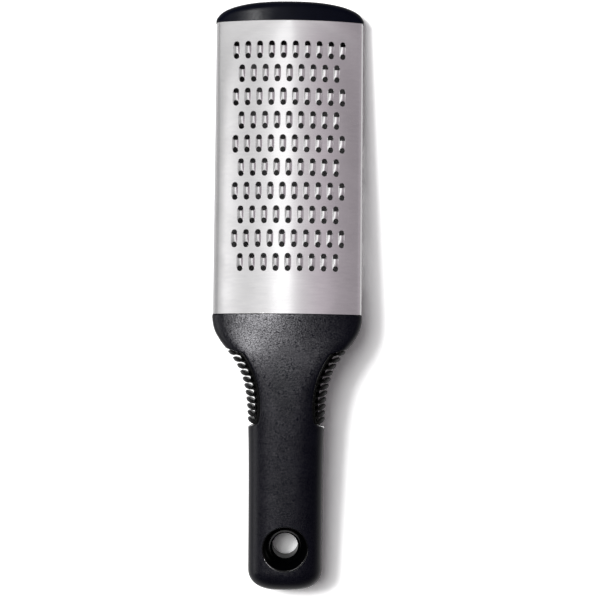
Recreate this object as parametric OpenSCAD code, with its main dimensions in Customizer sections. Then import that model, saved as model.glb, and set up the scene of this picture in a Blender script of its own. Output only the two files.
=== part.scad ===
// Hand-held grater: an arched, pierced steel plate with a capped and padded tip,
// riveted to the hard core of a flared soft handle.
// It lies as it rests on a table: teeth up, tip towards +Y, and the origin
// on the table under the middle of the part.

/* [Plate] */
// Width of the steel plate over its side walls
plate_w = 75.2; // [68:0.2:84]
// Length of steel between the cap and the handle
plate_l = 149.6; // [125:0.2:175]
// Thickness of the steel sheet
sheet_t = 0.7; // [0.5:0.1:1]
// Outer radius of the arch across the plate
arch_r = 115; // [95:1:150]
// Outer radius of the bend between the arch and a side wall
edge_bend_r = 3; // [2:0.25:4]
// Height of the straight part of a side wall
side_wall_h = 3.4; // [2.5:0.1:6]
// Width of the safe edge turned in under a side wall
flange_w = 3.6; // [2:0.2:4.5]
// Angle by which the plate slopes down to its tip
head_tilt = 5; // [3:0.5:7]

/* [Teeth] */
// Distance from the cap to the middle of the first row
first_row_inset = 15.1; // [10:0.1:20]
// Distance from the handle to the middle of the last row
last_row_inset = 25.9; // [15:0.1:35]
// Distance between rows, evened out over the plate
row_pitch = 12.05; // [10.5:0.05:15]
// Distance along the arch between the outer teeth of a long row
teeth_w = 54.6; // [40:0.1:60]
// Distance between teeth along the arch, evened out over the row
tooth_pitch = 6.07; // [5:0.01:8]
// Width of a tooth opening
slot_w = 2.8; // [2:0.1:3.4]
// Length of a tooth opening
slot_l = 9; // [7:0.1:9.8]
// Length of the raised bridge over an opening
bridge_l = 3.7; // [2.4:0.1:5]
// Height of a bridge above the plate
bridge_rise = 1.1; // [0.8:0.1:1.6]
// Thickness of a bridge
bridge_t = 0.5; // [0.4:0.1:0.7]

/* [Tang] */
// Width of the tang that the handle holds
tang_w = 52; // [40:1:60]
// Length of the tang
tang_l = 17; // [14:1:18]
// Depth of the step between the plate and the tang
tang_step = 4.6; // [4:0.1:6]
// Diameter of a rivet's shank
rivet_d = 4; // [3:0.5:5]
// Diameter of a rivet's head
rivet_head_d = 7; // [6:0.5:8]
// Thickness of a rivet's head
rivet_head_h = 1.1; // [0.8:0.1:1.5]
// Distance between rivets
rivet_pitch = 18; // [12:1:20]

/* [End cap] */
// Length of the cap beyond the steel
cap_l = 10.5; // [8:0.1:14]
// How far the cap stands proud of the steel
cap_proud = 0.3; // [0.1:0.1:0.6]
// Radius of the cap's upper front edge
cap_edge_r = 4; // [2.5:0.5:6]
// Depth of the cap's plug inside the plate
cap_plug_l = 7; // [5:0.5:12]
// Height of the plate's lower edge above the table at the tip
foot_clear = 2; // [1:0.25:4]
// Height of the step between the cap and the foot above the plate's lower edge
foot_lap = 2; // [1:0.25:3]
// Width of the foot's tongue
tongue_w = 44; // [30:1:60]
// Thickness of the foot's tongue
tongue_t = 3; // [2:0.25:4]
// Height of the foot's tongue
tongue_h = 2.6; // [2:0.2:4]

/* [Handle] */
// Length of the handle
handle_l = 140.9; // [125:0.1:165]
// Width of the grip
grip_w = 37.6; // [33:0.2:42]
// Thickness of the grip
grip_t = 24.8; // [22.5:0.1:28]
// How far the shoulder stands proud of the plate's width on each side
shoulder_proud = 0.6; // [0.3:0.1:1.2]
// Thickness of the shoulder where it meets the plate
shoulder_t = 23; // [22:0.5:27]
// Distance over which the shoulder narrows to half way
neck_mid = 27; // [23:0.2:30]
// Length ahead of the joint at which the narrowing starts
neck_lead = 6.75; // [3:0.25:7]
// Depth of the flat worn into the belly where the handle rests on the table
belly_flat = 0.4; // [0.2:0.1:0.8]
// Length over which the slope changes behind the joint
hump_l = 20; // [14:1:28]
// Length of the rounded end of the handle
end_l = 11; // [9:0.5:14]

/* [Hanging hole] */
// Diameter of the bore
hole_d = 13; // [9:0.5:14]
// Diameter of the eye that shows in the grip
eye_d = 23.2; // [21:0.2:24]
// Depth of the dish above the bore
dish_depth = 8.6; // [6:0.2:9.5]
// Depth of the dish below the bore
under_dish_depth = 1; // [0.6:0.2:4]
// Width of the ledge between the dish and the bore
ledge_w = 1.1; // [0.6:0.1:1.6]
// Thickness of the rim round the dish
eye_rim_w = 0.6; // [0.4:0.1:1]
// Distance from the end of the handle to the middle of the hole
hole_inset = 22.8; // [20:0.2:30]

/* [Core] */
// Width of the core's block in the shoulder
block_w = 56; // [52:1:58]
// Length of the core's block in the shoulder
block_l = 16.5; // [15:0.5:17]
// Thickness of the core's block below the tang
block_t = 9; // [7:0.5:10]
// Length of the core's nose under the plate
nose_l = 3.5; // [2:0.5:6]
// Height of the core's nose
nose_h = 7.5; // [6:0.5:9]
// Width of the core's beam
beam_w = 17; // [13:0.5:20]
// Thickness of the core's beam
beam_t = 9; // [7:0.5:11]

/* [Side fins] */
// Radius in plan of the hollow that holds the fins
fin_hollow_r = 46.3; // [43:0.1:50]
// Least distance from the middle of the grip to the hollow's floor
fin_floor_x = 15; // [14.4:0.1:16]
// Radius of the floor's bulge from top to bottom
fin_floor_r = 30; // [26:1:60]
// Distance from the joint to the deepest place of the hollow
fin_hollow_d = 45.9; // [44:0.1:48]
// Distance from the joint to the point of the first fin
first_fin_d = 18.5; // [18.4:0.1:22]
// Distance from the joint to the outer corner of the hollow's lower end
fin_end_d = 56.6; // [55.4:0.1:60]
// Angle of the hollow's lower end to the width of the handle
fin_end_angle = 22; // [0:1:30]
// Distance between fins
fin_pitch = 3.35; // [3:0.05:4.5]
// Thickness of a fin in its middle
fin_t = 2.1; // [1.8:0.1:2.6]
// Length of a fin's leaf from its point to its inner end
fin_l = 5.8; // [5:0.1:9]
// Thickness of the web that joins a leaf to the pad
fin_web_t = 0.7; // [0.5:0.1:1]
// Angle of the first fin to the width of the handle
first_fin_angle = 15; // [10:1:25]
// Angle of the last fin to the width of the handle
last_fin_angle = 32; // [25:1:38]
// Gap between the first fin and the hollow's upper end
fin_head_gap = 0.2; // [0.1:0.1:0.6]
// Thickness of the pad that carries the fins
fin_pad_t = 0.9; // [0.6:0.1:1.5]

/* [Fit] */
// Clearance between pieces that fit in each other
fit_gap = 0.1; // [0.05:0.05:0.25]

/* [Hidden] */
$fn = 96;
arch_facets = 384;
small_facets = 32;

// Overrun of a cut past the faces that it opens
overrun = 1;
// Overlap of neighbouring stretches of the plate's cross-section, and how much
// thicker the bends are, so that each stretch meets the next in a clean step
lap = 0.02;
lap_angle = 1;

// The plate's cross-section: the bend's centre and where it meets the arch
half_w = plate_w / 2;
bend_x = half_w - edge_bend_r;
bend_z = -arch_r + sqrt(pow(arch_r - edge_bend_r, 2) - pow(bend_x, 2));
bend_angle = asin(bend_x / (arch_r - edge_bend_r));
arch_end_x = arch_r * sin(bend_angle);
hem_r = 2 * sheet_t;
plate_depth = -bend_z + side_wall_h + hem_r;

// Where the joint between plate and handle lies
cap_top_z = cap_proud;
head_reach = (plate_l + cap_l - cap_edge_r) * cos(head_tilt)
    - (cap_edge_r - cap_top_z) * sin(head_tilt) + cap_edge_r;
joint_y = (handle_l - head_reach) / 2;
joint_z = plate_l * sin(head_tilt) + plate_depth * cos(head_tilt) + foot_clear;

// Rows of teeth
row_count = 1 + round((plate_l - first_row_inset - last_row_inset) / row_pitch);
row_step = (plate_l - first_row_inset - last_row_inset) / (row_count - 1);
tooth_count = 1 + round(teeth_w / tooth_pitch);
tooth_step_angle = teeth_w / (tooth_count - 1) / arch_r * 180 / PI;

// The handle's middle line, from the joint to its end
middle_drop = shoulder_t / 2 - shoulder_proud;
spine_y0 = joint_y - middle_drop * sin(head_tilt);
spine_z0 = joint_z - middle_drop * cos(head_tilt);
spine_l = handle_l - middle_drop * sin(head_tilt);
rest_d = spine_l - end_l - grip_t / 6;
hump_rest_l = hump_l * (1 - exp(-rest_d / hump_l));
// Slope of the handle that brings its belly down to the table at rest_d
droop = (spine_z0 + tan(head_tilt) * hump_rest_l - grip_t / 2 + belly_flat)
    / (rest_d - hump_rest_l);
hole_d_along = spine_l - hole_inset;
neck_power = 4.15;
shoulder_half_w = half_w + shoulder_proud;

// Exponents of the grip's cross-section at the joint and along the grip
section_shares = [14, 2.6];
grip_section_shares = [2.5, 2.5];
// Exponents of the rounded end, in plan and from the side
end_plan_shares = [2.2, 3];
end_side_shares = [2.2, 2.4];
grip_rings = 36;
end_rings = 8;
end_stop_angle = 88;
ring_bias = 1.3;
ring_sides = 44;

// The eye: its flat faces above and below the middle of the grip
eye_r = eye_d / 2;
eye_top = grip_t / 2 * pow(1 - pow(eye_d / grip_w, grip_section_shares[0]),
    1 / grip_section_shares[1]) - fit_gap;

// Teeth, tang and rivets
bridge_inner_h = bridge_rise - bridge_t + sheet_t;
bridge_inner_r = (pow(slot_w / 2, 2) + pow(bridge_inner_h, 2)) / (2 * bridge_inner_h);
tang_r = arch_r - tang_step;
rivet_y_share = 0.55;
rivet_y = -tang_l * rivet_y_share;
tang_gap = sheet_t + fit_gap;
block_floor_z = -tang_step - tang_gap - block_t;

// The cap's plan outline
cap_shape_share = 2 / 2.57;
outline_steps = 48;
cap_floor_z = -plate_depth + foot_lap;

function neck_share(d) = 1 / (1 + pow((d + neck_lead) / neck_mid, neck_power));
function spine_slope(d) = (tan(head_tilt) + droop) * exp(-d / hump_l) - droop;
function spine_z(d) = spine_z0 - droop * d
    + (tan(head_tilt) + droop) * hump_l * (1 - exp(-d / hump_l));
function spine_tilt(d) = atan(spine_slope(d));
function blend(a, b, s) = a + (b - a) * s;
function sag(x) = arch_r - sqrt(pow(arch_r, 2) - pow(x, 2));
function half_width(d) = blend(grip_w / 2, shoulder_half_w, neck_share(d));
function half_thick(d) = blend(grip_t / 2, shoulder_t / 2, neck_share(d));

// One point of the grip's cross-section, across and up from the middle line
function section_point(angle, w, h, s) =
    let (
        x = w * cos(angle),
        p = blend(grip_section_shares[0], section_shares[0], s),
        q = blend(grip_section_shares[1], section_shares[1], s),
        rise = (h - s * sag(x)) * pow(max(0, 1 - pow(abs(x) / w, p)), 1 / q)
    )
    [x, (sin(angle) < 0 ? -1 : 1) * rise];

// A closed ring of the grip's outer form at distance d behind the joint
function ring(d, plan_share, side_share) =
    let (
        s = neck_share(d),
        w = half_width(d) * plan_share,
        h = half_thick(d) * side_share,
        tilt = spine_tilt(d)
    )
    [for (i = [0 : ring_sides - 1])
        let (p = section_point(360 * i / ring_sides, w, h, s))
        [p[0], spine_y0 - d + p[1] * sin(tilt), spine_z(d) + p[1] * cos(tilt)]];

function end_share(u, shares) = pow(1 - pow(u, shares[0]), 1 / shares[1]);

grip_ring_points = concat(
    [for (k = [0 : grip_rings])
        for (p = ring((spine_l - end_l) * pow(k / grip_rings, ring_bias), 1, 1)) p],
    [for (k = [1 : end_rings])
        let (u = sin(end_stop_angle * k / end_rings))
        for (p = ring(spine_l - end_l + end_l * u,
            end_share(u, end_plan_shares), end_share(u, end_side_shares))) p]
);
ring_count = grip_rings + end_rings + 1;
grip_faces = concat(
    [[for (i = [0 : ring_sides - 1]) i]],
    [for (k = [0 : ring_count - 2])
        for (i = [0 : ring_sides - 1])
            let (a = k * ring_sides + i, b = k * ring_sides + (i + 1) % ring_sides)
            each [[a, a + ring_sides, b + ring_sides], [a, b + ring_sides, b]]],
    [[for (i = [ring_sides - 1 : -1 : 0]) (ring_count - 1) * ring_sides + i]]
);

// The cap's outline seen from above, grown or shrunk by a margin
function cap_outline(margin) = concat(
    [for (i = [0 : outline_steps])
        let (a = 180 * i / outline_steps)
        [
            (half_w + cap_proud + margin) * sign(cos(a)) * pow(abs(cos(a)), cap_shape_share),
            plate_l + (cap_l + margin) * pow(sin(a), cap_shape_share)
        ]],
    [[-half_w - cap_proud - margin, plate_l - cap_plug_l],
        [half_w + cap_proud + margin, plate_l - cap_plug_l]]
);

// The plate's own frame: y along the plate from the joint, z up from its crown
module in_head() {
    translate([0, joint_y, joint_z])
        rotate([-head_tilt, 0, 0])
            children();
}

// The handle's own frame at distance d behind the joint
module in_handle(d) {
    translate([0, spine_y0 - d, spine_z(d)])
        rotate([-spine_tilt(d), 0, 0])
            children();
}

// Stands a flat cross-section up and runs it along y from y0 to y1
module along_plate(y0, y1) {
    translate([0, y1, 0])
        rotate([90, 0, 0])
            linear_extrude(height = y1 - y0)
                children();
}

module mirrored() {
    children();
    mirror([1, 0, 0])
        children();
}

// Everything below the table
module below_table() {
    translate([-plate_w, -handle_l - plate_l, -plate_w])
        cube([2 * plate_w, 2 * (handle_l + plate_l), plate_w]);
}

// Everything under an arch of radius r, out to half width x and down to z
module under_arch(r, x, z) {
    intersection() {
        translate([0, -arch_r])
            circle(r = r);
        translate([-x, z])
            square([2 * x, arch_r]);
    }
}

module wall_section() {
    translate([bend_x, bend_z])
        intersection() {
            difference() {
                circle(r = edge_bend_r);
                circle(r = edge_bend_r - sheet_t - lap);
            }
            polygon([
                [0, 0],
                2 * edge_bend_r * [sin(bend_angle - lap_angle), cos(bend_angle - lap_angle)],
                [2 * edge_bend_r, 2 * edge_bend_r],
                [2 * edge_bend_r, 0]
            ]);
        }
    translate([half_w - sheet_t, -plate_depth + hem_r - lap])
        square([sheet_t, side_wall_h + 2 * lap]);
    translate([half_w - hem_r, -plate_depth + hem_r])
        intersection() {
            difference() {
                circle(r = hem_r);
                circle(r = hem_r - sheet_t - lap);
            }
            translate([0, -hem_r])
                square([hem_r, hem_r]);
        }
    translate([half_w - flange_w, -plate_depth])
        square([flange_w - hem_r + lap, sheet_t]);
}

module plate_section() {
    translate([0, -arch_r])
        intersection() {
            difference() {
                circle(r = arch_r, $fn = arch_facets);
                circle(r = arch_r - sheet_t, $fn = arch_facets);
            }
            polygon([
                [0, 0],
                [-2 * arch_end_x, 2 * arch_r * cos(bend_angle)],
                [2 * arch_end_x, 2 * arch_r * cos(bend_angle)]
            ]);
        }
    mirrored()
        wall_section();
}

// Puts its children at each tooth, with z along the plate's normal there
module at_teeth() {
    for (row = [0 : row_count - 1]) {
        teeth = row % 2 == 0 ? tooth_count : tooth_count - 1;
        for (i = [0 : teeth - 1])
            translate([0, plate_l - first_row_inset - row * row_step, -arch_r])
                rotate([0, (i - (teeth - 1) / 2) * tooth_step_angle, 0])
                    translate([0, 0, arch_r])
                        children();
    }
}

module tooth_slot() {
    translate([0, 0, -2 * sheet_t])
        linear_extrude(height = 3 * sheet_t)
            slot_outline();
}

module slot_outline() {
    for (side = [-1, 1])
        translate([0, side * (slot_l - slot_w) / 2])
            circle(d = slot_w, $fn = small_facets);
    square([slot_w, slot_l - slot_w], center = true);
}

module tooth_bridge() {
    translate([0, bridge_l / 2, bridge_rise - bridge_t - bridge_inner_r])
        rotate([90, 0, 0])
            linear_extrude(height = bridge_l)
                intersection() {
                    difference() {
                        circle(r = bridge_inner_r + bridge_t, $fn = small_facets);
                        circle(r = bridge_inner_r, $fn = small_facets);
                    }
                    translate([-slot_w, bridge_inner_r + bridge_t - bridge_rise - sheet_t / 2])
                        square([2 * slot_w, slot_w]);
                }
}

// An arched strip between two radii, out to half width x
module tang_section(r_out, r_in, x) {
    intersection() {
        translate([0, -arch_r])
            difference() {
                circle(r = r_out, $fn = arch_facets);
                circle(r = r_in, $fn = arch_facets);
            }
        translate([-x, -arch_r])
            square([2 * x, 2 * arch_r]);
    }
}

// The stepped tang, with a gap g round it
module tang(g) {
    along_plate(-tang_l - g, -sheet_t / 2)
        tang_section(tang_r + g, tang_r - sheet_t - g, tang_w / 2 + g);
    along_plate(-sheet_t - g, g)
        tang_section(arch_r + g, tang_r - sheet_t - g, tang_w / 2 + g);
}

module at_rivets() {
    for (i = [-1 : 1])
        translate([i * rivet_pitch, rivet_y, 0])
            children();
}

// The height of the tang's top, and of its underside, at a distance x from the middle
function tang_top(x) = -arch_r + sqrt(pow(tang_r, 2) - pow(x, 2));
function tang_floor(x) = -arch_r + sqrt(pow(tang_r - tang_gap, 2) - pow(x, 2));

// A rivet through the tang and the core's block, with a gap g round it
module rivet(x, g) {
    head_z = tang_top(max(0, abs(x) - rivet_head_d / 2)) + fit_gap;
    translate([x, rivet_y, block_floor_z - rivet_head_h - fit_gap - g])
        cylinder(d = rivet_head_d + 2 * g, h = rivet_head_h + g);
    translate([x, rivet_y, block_floor_z - rivet_head_h])
        cylinder(d = rivet_d + 2 * g, h = head_z - block_floor_z + rivet_head_h + overrun / 2);
    translate([x, rivet_y, head_z])
        cylinder(d = rivet_head_d + 2 * g, h = rivet_head_h + g);
}

module grating_plate() {
    color("lightsteelblue")
        in_head() {
            difference() {
                union() {
                    along_plate(0, plate_l)
                        plate_section();
                    tang(0);
                }
                at_teeth()
                    tooth_slot();
                at_rivets()
                    translate([0, 0, -2 * tang_step])
                        cylinder(d = rivet_d + 2 * fit_gap, h = 2 * tang_step);
            }
            at_teeth()
                tooth_bridge();
        }
}

// The core's block and nose in the plate's frame, with a gap g round them
module core_block(g) {
    along_plate(-block_l - g, -sheet_t - fit_gap)
        under_arch(tang_r - tang_gap + g, block_w / 2 + g, block_floor_z - g);
    along_plate(-sheet_t - fit_gap - overrun, nose_l)
        under_arch(tang_r - tang_gap + g, tang_w / 2 + g, -tang_step - nose_h - g);
    along_plate(fit_gap, nose_l)
        under_arch(arch_r - tang_gap, tang_w / 2, -tang_step - nose_h);
}

// The core's beam, from the eye into the block, with a gap g round it
module core_beam(g) {
    in_handle(hole_d_along)
        translate([-beam_w / 2 - g, 0, -beam_t / 2 - g])
            cube([beam_w + 2 * g, hole_d_along - block_l / 2 + g, beam_t + 2 * g]);
}

// The eye's outline as a turned section: a dish above and below the bore
module eye() {
    in_handle(hole_d_along)
        rotate_extrude()
            polygon([
                [hole_d / 2, -eye_top + under_dish_depth],
                [hole_d / 2, eye_top - dish_depth],
                [hole_d / 2 + ledge_w, eye_top - dish_depth],
                [eye_r - eye_rim_w, eye_top],
                [eye_r, eye_top],
                [eye_r, -eye_top],
                [eye_r - eye_rim_w, -eye_top]
            ]);
}

module tang_rivets() {
    color("silver")
        in_head()
            for (i = [-1 : 1])
                rivet(i * rivet_pitch, 0);
}

module handle_core() {
    color([0.09, 0.09, 0.1])
        difference() {
            union() {
                in_head()
                    core_block(0);
                difference() {
                    core_beam(0);
                    in_handle(hole_d_along)
                        cylinder(r = eye_r - eye_rim_w, h = 2 * grip_t, center = true);
                }
                eye();
            }
            in_head()
                for (i = [-1 : 1])
                    rivet(i * rivet_pitch, fit_gap);
        }
}

module grip_form() {
    polyhedron(points = grip_ring_points, faces = grip_faces);
}

// A turned body, waisted in the middle of its height, that cuts the hollow on the right
module fin_cutter(r) {
    in_handle(fin_hollow_d)
        translate([fin_floor_x + fin_hollow_r, 0, 0])
            rotate_extrude()
                difference() {
                    translate([0, -grip_t])
                        square([r + fin_floor_r, 2 * grip_t]);
                    translate([r + fin_floor_r, 0])
                        circle(r = fin_floor_r);
                }
}

// The hollow on the right of the grip, drawn in by g on every side
module fin_hollow(g) {
    head = (fin_t / 2 + fin_head_gap - g) / cos(first_fin_angle);
    intersection() {
        fin_cutter(fin_hollow_r - g);
        translate([half_width(first_fin_d), spine_y0 - first_fin_d + head, -grip_t])
            rotate([0, 0, first_fin_angle])
                translate([-plate_w, -2 * fin_end_d, 0])
                    cube([2 * plate_w, 2 * fin_end_d, 3 * grip_t]);
        translate([half_width(fin_end_d), spine_y0 - fin_end_d + g, -grip_t])
            rotate([0, 0, -fin_end_angle])
                translate([-plate_w, 0, 0])
                    cube([2 * plate_w, 2 * fin_end_d, 3 * grip_t]);
    }
}

// One fin, from its point inwards and towards the handle's end: a leaf seen from above, and a
// web that goes on from it through the pad
module fin(angle) {
    leaf_r = (pow(fin_l / 2, 2) + pow(fin_t / 2, 2)) / fin_t;
    web_l = plate_w / 2;
    rotate([0, 0, angle])
        translate([-fin_l / 2, 0, -grip_t / 2])
            linear_extrude(height = grip_t) {
                intersection_for(side = [-1, 1])
                    translate([0, side * (leaf_r - fin_t / 2)])
                        circle(r = leaf_r);
                translate([-web_l, -fin_web_t / 2])
                    square([web_l, fin_web_t]);
            }
}

module fin_pad() {
    last_fin = floor((fin_end_d - fin_t - first_fin_d) / fin_pitch);
    intersection() {
        grip_form();
        fin_hollow(fit_gap);
        union() {
            difference() {
                fin_hollow(fit_gap);
                fin_cutter(fin_hollow_r - fit_gap - fin_pad_t);
            }
            for (i = [0 : last_fin])
                let (d = first_fin_d + i * fin_pitch)
                translate([half_width(d), spine_y0 - d, spine_z(d)])
                    fin(blend(first_fin_angle, last_fin_angle, i / last_fin));
        }
    }
}

module fin_pad_right() {
    color([0.03, 0.03, 0.03])
        fin_pad();
}

module fin_pad_left() {
    color([0.03, 0.03, 0.03])
        mirror([1, 0, 0])
            fin_pad();
}

module handle_grip() {
    color([0.16, 0.16, 0.17])
        difference() {
            grip_form();
            below_table();
            in_head() {
                core_block(fit_gap);
                tang(fit_gap);
                for (i = [-1 : 1])
                    rivet(i * rivet_pitch, fit_gap);
            }
            core_beam(fit_gap);
            in_handle(hole_d_along)
                cylinder(r = eye_r + fit_gap, h = 2 * grip_t, center = true);
            mirrored()
                fin_hollow(0);
        }
}

// The cap's cross-section: the plate's, grown by the amount it stands proud
module cap_section() {
    under_arch(arch_r + cap_proud, arch_end_x, cap_floor_z);
    mirrored()
        intersection() {
            union() {
                translate([bend_x, bend_z])
                    circle(r = edge_bend_r + cap_proud);
                translate([0, cap_floor_z])
                    square([half_w + cap_proud, bend_z - cap_floor_z]);
            }
            translate([0, cap_floor_z])
                square([plate_w, plate_depth]);
        }
}

// The cap from the side: a square block with a rounded upper front edge
module cap_side() {
    translate([plate_l, cap_floor_z])
        square([cap_l - cap_edge_r, cap_proud - cap_floor_z]);
    translate([plate_l, cap_floor_z])
        square([cap_l, cap_proud - cap_edge_r - cap_floor_z]);
    translate([plate_l + cap_l - cap_edge_r, cap_proud - cap_edge_r])
        circle(r = cap_edge_r);
}

module end_cap() {
    color([0.08, 0.09, 0.13])
        in_head()
            difference() {
                union() {
                    intersection() {
                        along_plate(plate_l, plate_l + cap_l)
                            cap_section();
                        translate([0, 0, cap_floor_z])
                            linear_extrude(height = plate_depth)
                                polygon(cap_outline(0));
                        translate([-plate_w, 0, 0])
                            rotate([90, 0, 90])
                                linear_extrude(height = 2 * plate_w)
                                    cap_side();
                    }
                    along_plate(plate_l - cap_plug_l, plate_l + overrun)
                        under_arch(arch_r - tang_gap, half_w - flange_w, cap_floor_z);
                }
                foot_tongue(fit_gap);
            }
}

// The foot's tongue in the plate's frame, with a gap g round it
module foot_tongue(g) {
    translate([
        -tongue_w / 2 - g,
        plate_l + cap_l / 2 - cap_edge_r / 2 - tongue_t / 2 - g,
        cap_floor_z - overrun
    ])
        cube([tongue_w + 2 * g, tongue_t + 2 * g, tongue_h + overrun + g]);
}

module foot_pad() {
    color([0.05, 0.05, 0.055])
        difference() {
            in_head() {
                intersection() {
                    translate([0, 0, cap_floor_z - plate_depth])
                        linear_extrude(height = plate_depth)
                            polygon(cap_outline(0));
                    translate([-plate_w, plate_l + fit_gap, -plate_w])
                        cube([2 * plate_w, cap_l, plate_w]);
                }
                foot_tongue(0);
            }
            below_table();
        }
}

grating_plate();
tang_rivets();
handle_core();
handle_grip();
fin_pad_left();
fin_pad_right();
end_cap();
foot_pad();
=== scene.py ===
import math

import bmesh
import bpy
from mathutils import Matrix, Vector


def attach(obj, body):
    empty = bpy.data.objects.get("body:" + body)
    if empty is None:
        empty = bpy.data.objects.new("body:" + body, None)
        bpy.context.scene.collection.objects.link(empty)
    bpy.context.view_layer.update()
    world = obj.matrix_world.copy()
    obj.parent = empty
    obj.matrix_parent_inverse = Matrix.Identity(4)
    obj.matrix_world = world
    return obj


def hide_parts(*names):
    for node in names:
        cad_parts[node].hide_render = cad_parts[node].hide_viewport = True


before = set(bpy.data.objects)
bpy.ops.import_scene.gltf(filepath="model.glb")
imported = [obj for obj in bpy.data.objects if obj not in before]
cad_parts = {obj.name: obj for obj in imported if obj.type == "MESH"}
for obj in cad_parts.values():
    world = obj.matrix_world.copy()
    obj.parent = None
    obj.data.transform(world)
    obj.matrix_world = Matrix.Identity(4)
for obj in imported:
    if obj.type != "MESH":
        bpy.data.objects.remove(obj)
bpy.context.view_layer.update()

# Lengths are in millimetres and angles in degrees, except where a comment says otherwise
MM = 0.001

# The plate
PLATE_W = 75.2
PLATE_L = 149.6
SHEET_T = 0.7
ARCH_R = 115
EDGE_BEND_R = 3
SIDE_WALL_H = 3.4
FLANGE_W = 3.6
HEAD_TILT = 5
TANG_W = 52
TANG_L = 17
TANG_STEP = 4.6

# The teeth
FIRST_ROW_INSET = 15.1
LAST_ROW_INSET = 25.9
ROW_COUNT = 10
TEETH_W = 54.6
TOOTH_COUNT = 10
SLOT_W = 2.8
SLOT_L = 9
BRIDGE_L = 3.7
# Share of its height that a bridge loses at its lower end
BRIDGE_FALL = 0.45
# How far before the slot's ends the raised metal is flat again
BRIDGE_END_GAP = 0.6
# How far the edge round a slot's two ends is rolled down
RIM_ROLL = 0.07
# Height of a bridge at distances across it (minus is left)
BRIDGE_PROFILE = ((-1.7, 0), (-1.5, 0.1), (-1.4, 0.22), (-1.2, 0.33), (-1, 0.42), (-0.75, 0.51),
                  (-0.45, 0.6), (-0.1, 0.67), (0.15, 0.69), (0.4, 0.67), (0.7, 0.59), (0.95, 0.48),
                  (1.2, 0.33), (1.4, 0.18), (1.55, 0.06), (1.7, 0))

# The cap and the foot
CAP_L = 10.5
CAP_PROUD = 0.3
CAP_EDGE_R = 4
CAP_PLUG_L = 7
TONGUE_W = 44
TONGUE_T = 3
TONGUE_H = 2.6
# Share of the cap's outline at each side over which its rounded edge fades into the side bend
CAP_CORNER_SHARE = 0.1
# Power of the cap's outline, which would be an ellipse with 1
CAP_OUTLINE_POWER = 2 / 2.57
FOOT_CLEAR = 2
FOOT_LAP = 2

# The handle
HANDLE_L = 140.9
GRIP_W = 37.6
GRIP_T = 24.8
SHOULDER_PROUD = 0.6
SHOULDER_T = 23
NECK_MID = 27
NECK_LEAD = 6.75
NECK_POWER = 4.15
BELLY_FLAT = 0.4
HUMP_L = 20
END_L = 11
# Powers of the rounded outlines: the section at the shoulder and along the grip, and the
# handle's end seen from above and from the side
SHOULDER_SECTION_POWERS = (14, 2.6)
GRIP_SECTION_POWERS = (2.5, 2.5)
END_PLAN_POWERS = (2.2, 3)
END_SIDE_POWERS = (2.2, 2.4)
# How far round the end's last curve the rings go, out of 90
END_STOP_ANGLE = 86

# The eye round the hanging hole
HOLE_D = 13
EYE_D = 23.2
DISH_DEPTH = 8.6
DISH_BULGE = 0.1
UNDER_DISH_DEPTH = 1
LEDGE_W = 1.1
LEDGE_RISE = 1.7
EYE_RIM_W = 0.6
EYE_LIP_R = 0.25
EYE_LIP_END = 130
HOLE_INSET = 22.8
FIT_GAP = 0.1

# The fins and the hollows that hold them
FIN_HOLLOW_R = 46.3
FIN_FLOOR_X = 15
FIN_FLOOR_R = 30
FIN_HOLLOW_D = 45.9
FIRST_FIN_D = 18.5
FIN_END_D = 56.6
FIN_END_ANGLE = 22
FIN_T = 2.1
FIN_PITCH = 3.35
FIN_PAD_T = 0.9
LAST_FIN_ANGLE = 32
FIRST_FIN_ANGLE = 15
FIN_HEAD_GAP = 0.2
# Half the thickness of a fin at distances from its point
FIN_PROFILE = ((0, 0.12), (0.2, 0.45), (0.6, 0.76), (1.3, 0.98), (2.2, 1.06), (3.1, 1), (3.9, 0.8),
               (4.5, 0.52), (4.9, 0.32), (11, 0.3))

# Derived sizes, by the same formulas as in the part's source
HALF_W = PLATE_W / 2
BEND_X = HALF_W - EDGE_BEND_R
BEND_Z = -ARCH_R + math.sqrt((ARCH_R - EDGE_BEND_R) ** 2 - BEND_X ** 2)
# In radians
BEND_ANGLE = math.asin(BEND_X / (ARCH_R - EDGE_BEND_R))
TILT = math.radians(HEAD_TILT)
HEM_R = 2 * SHEET_T
PLATE_DEPTH = -BEND_Z + SIDE_WALL_H + HEM_R
HEAD_REACH = ((PLATE_L + CAP_L - CAP_EDGE_R) * math.cos(TILT)
              - (CAP_EDGE_R - CAP_PROUD) * math.sin(TILT) + CAP_EDGE_R)
JOINT_Y = (HANDLE_L - HEAD_REACH) / 2
JOINT_Z = PLATE_L * math.sin(TILT) + PLATE_DEPTH * math.cos(TILT) + FOOT_CLEAR
MIDDLE_DROP = SHOULDER_T / 2 - SHOULDER_PROUD
SPINE_Y0 = JOINT_Y - MIDDLE_DROP * math.sin(TILT)
SPINE_Z0 = JOINT_Z - MIDDLE_DROP * math.cos(TILT)
SPINE_L = HANDLE_L - MIDDLE_DROP * math.sin(TILT)
REST_D = SPINE_L - END_L - GRIP_T / 6
HUMP_REST_L = HUMP_L * (1 - math.exp(-REST_D / HUMP_L))
DROOP = ((SPINE_Z0 + math.tan(TILT) * HUMP_REST_L - GRIP_T / 2 + BELLY_FLAT)
         / (REST_D - HUMP_REST_L))
SHOULDER_HALF_W = HALF_W + SHOULDER_PROUD
HOLE_D_ALONG = SPINE_L - HOLE_INSET
EYE_R = EYE_D / 2
EYE_TOP = (GRIP_T / 2 * (1 - (EYE_D / GRIP_W) ** GRIP_SECTION_POWERS[0])
           ** (1 / GRIP_SECTION_POWERS[1]) - FIT_GAP)
CAP_FLOOR_Z = -PLATE_DEPTH + FOOT_LAP
ROW_STEP = (PLATE_L - FIRST_ROW_INSET - LAST_ROW_INSET) / (ROW_COUNT - 1)
TOOTH_STEP = TEETH_W / (TOOTH_COUNT - 1)

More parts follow.
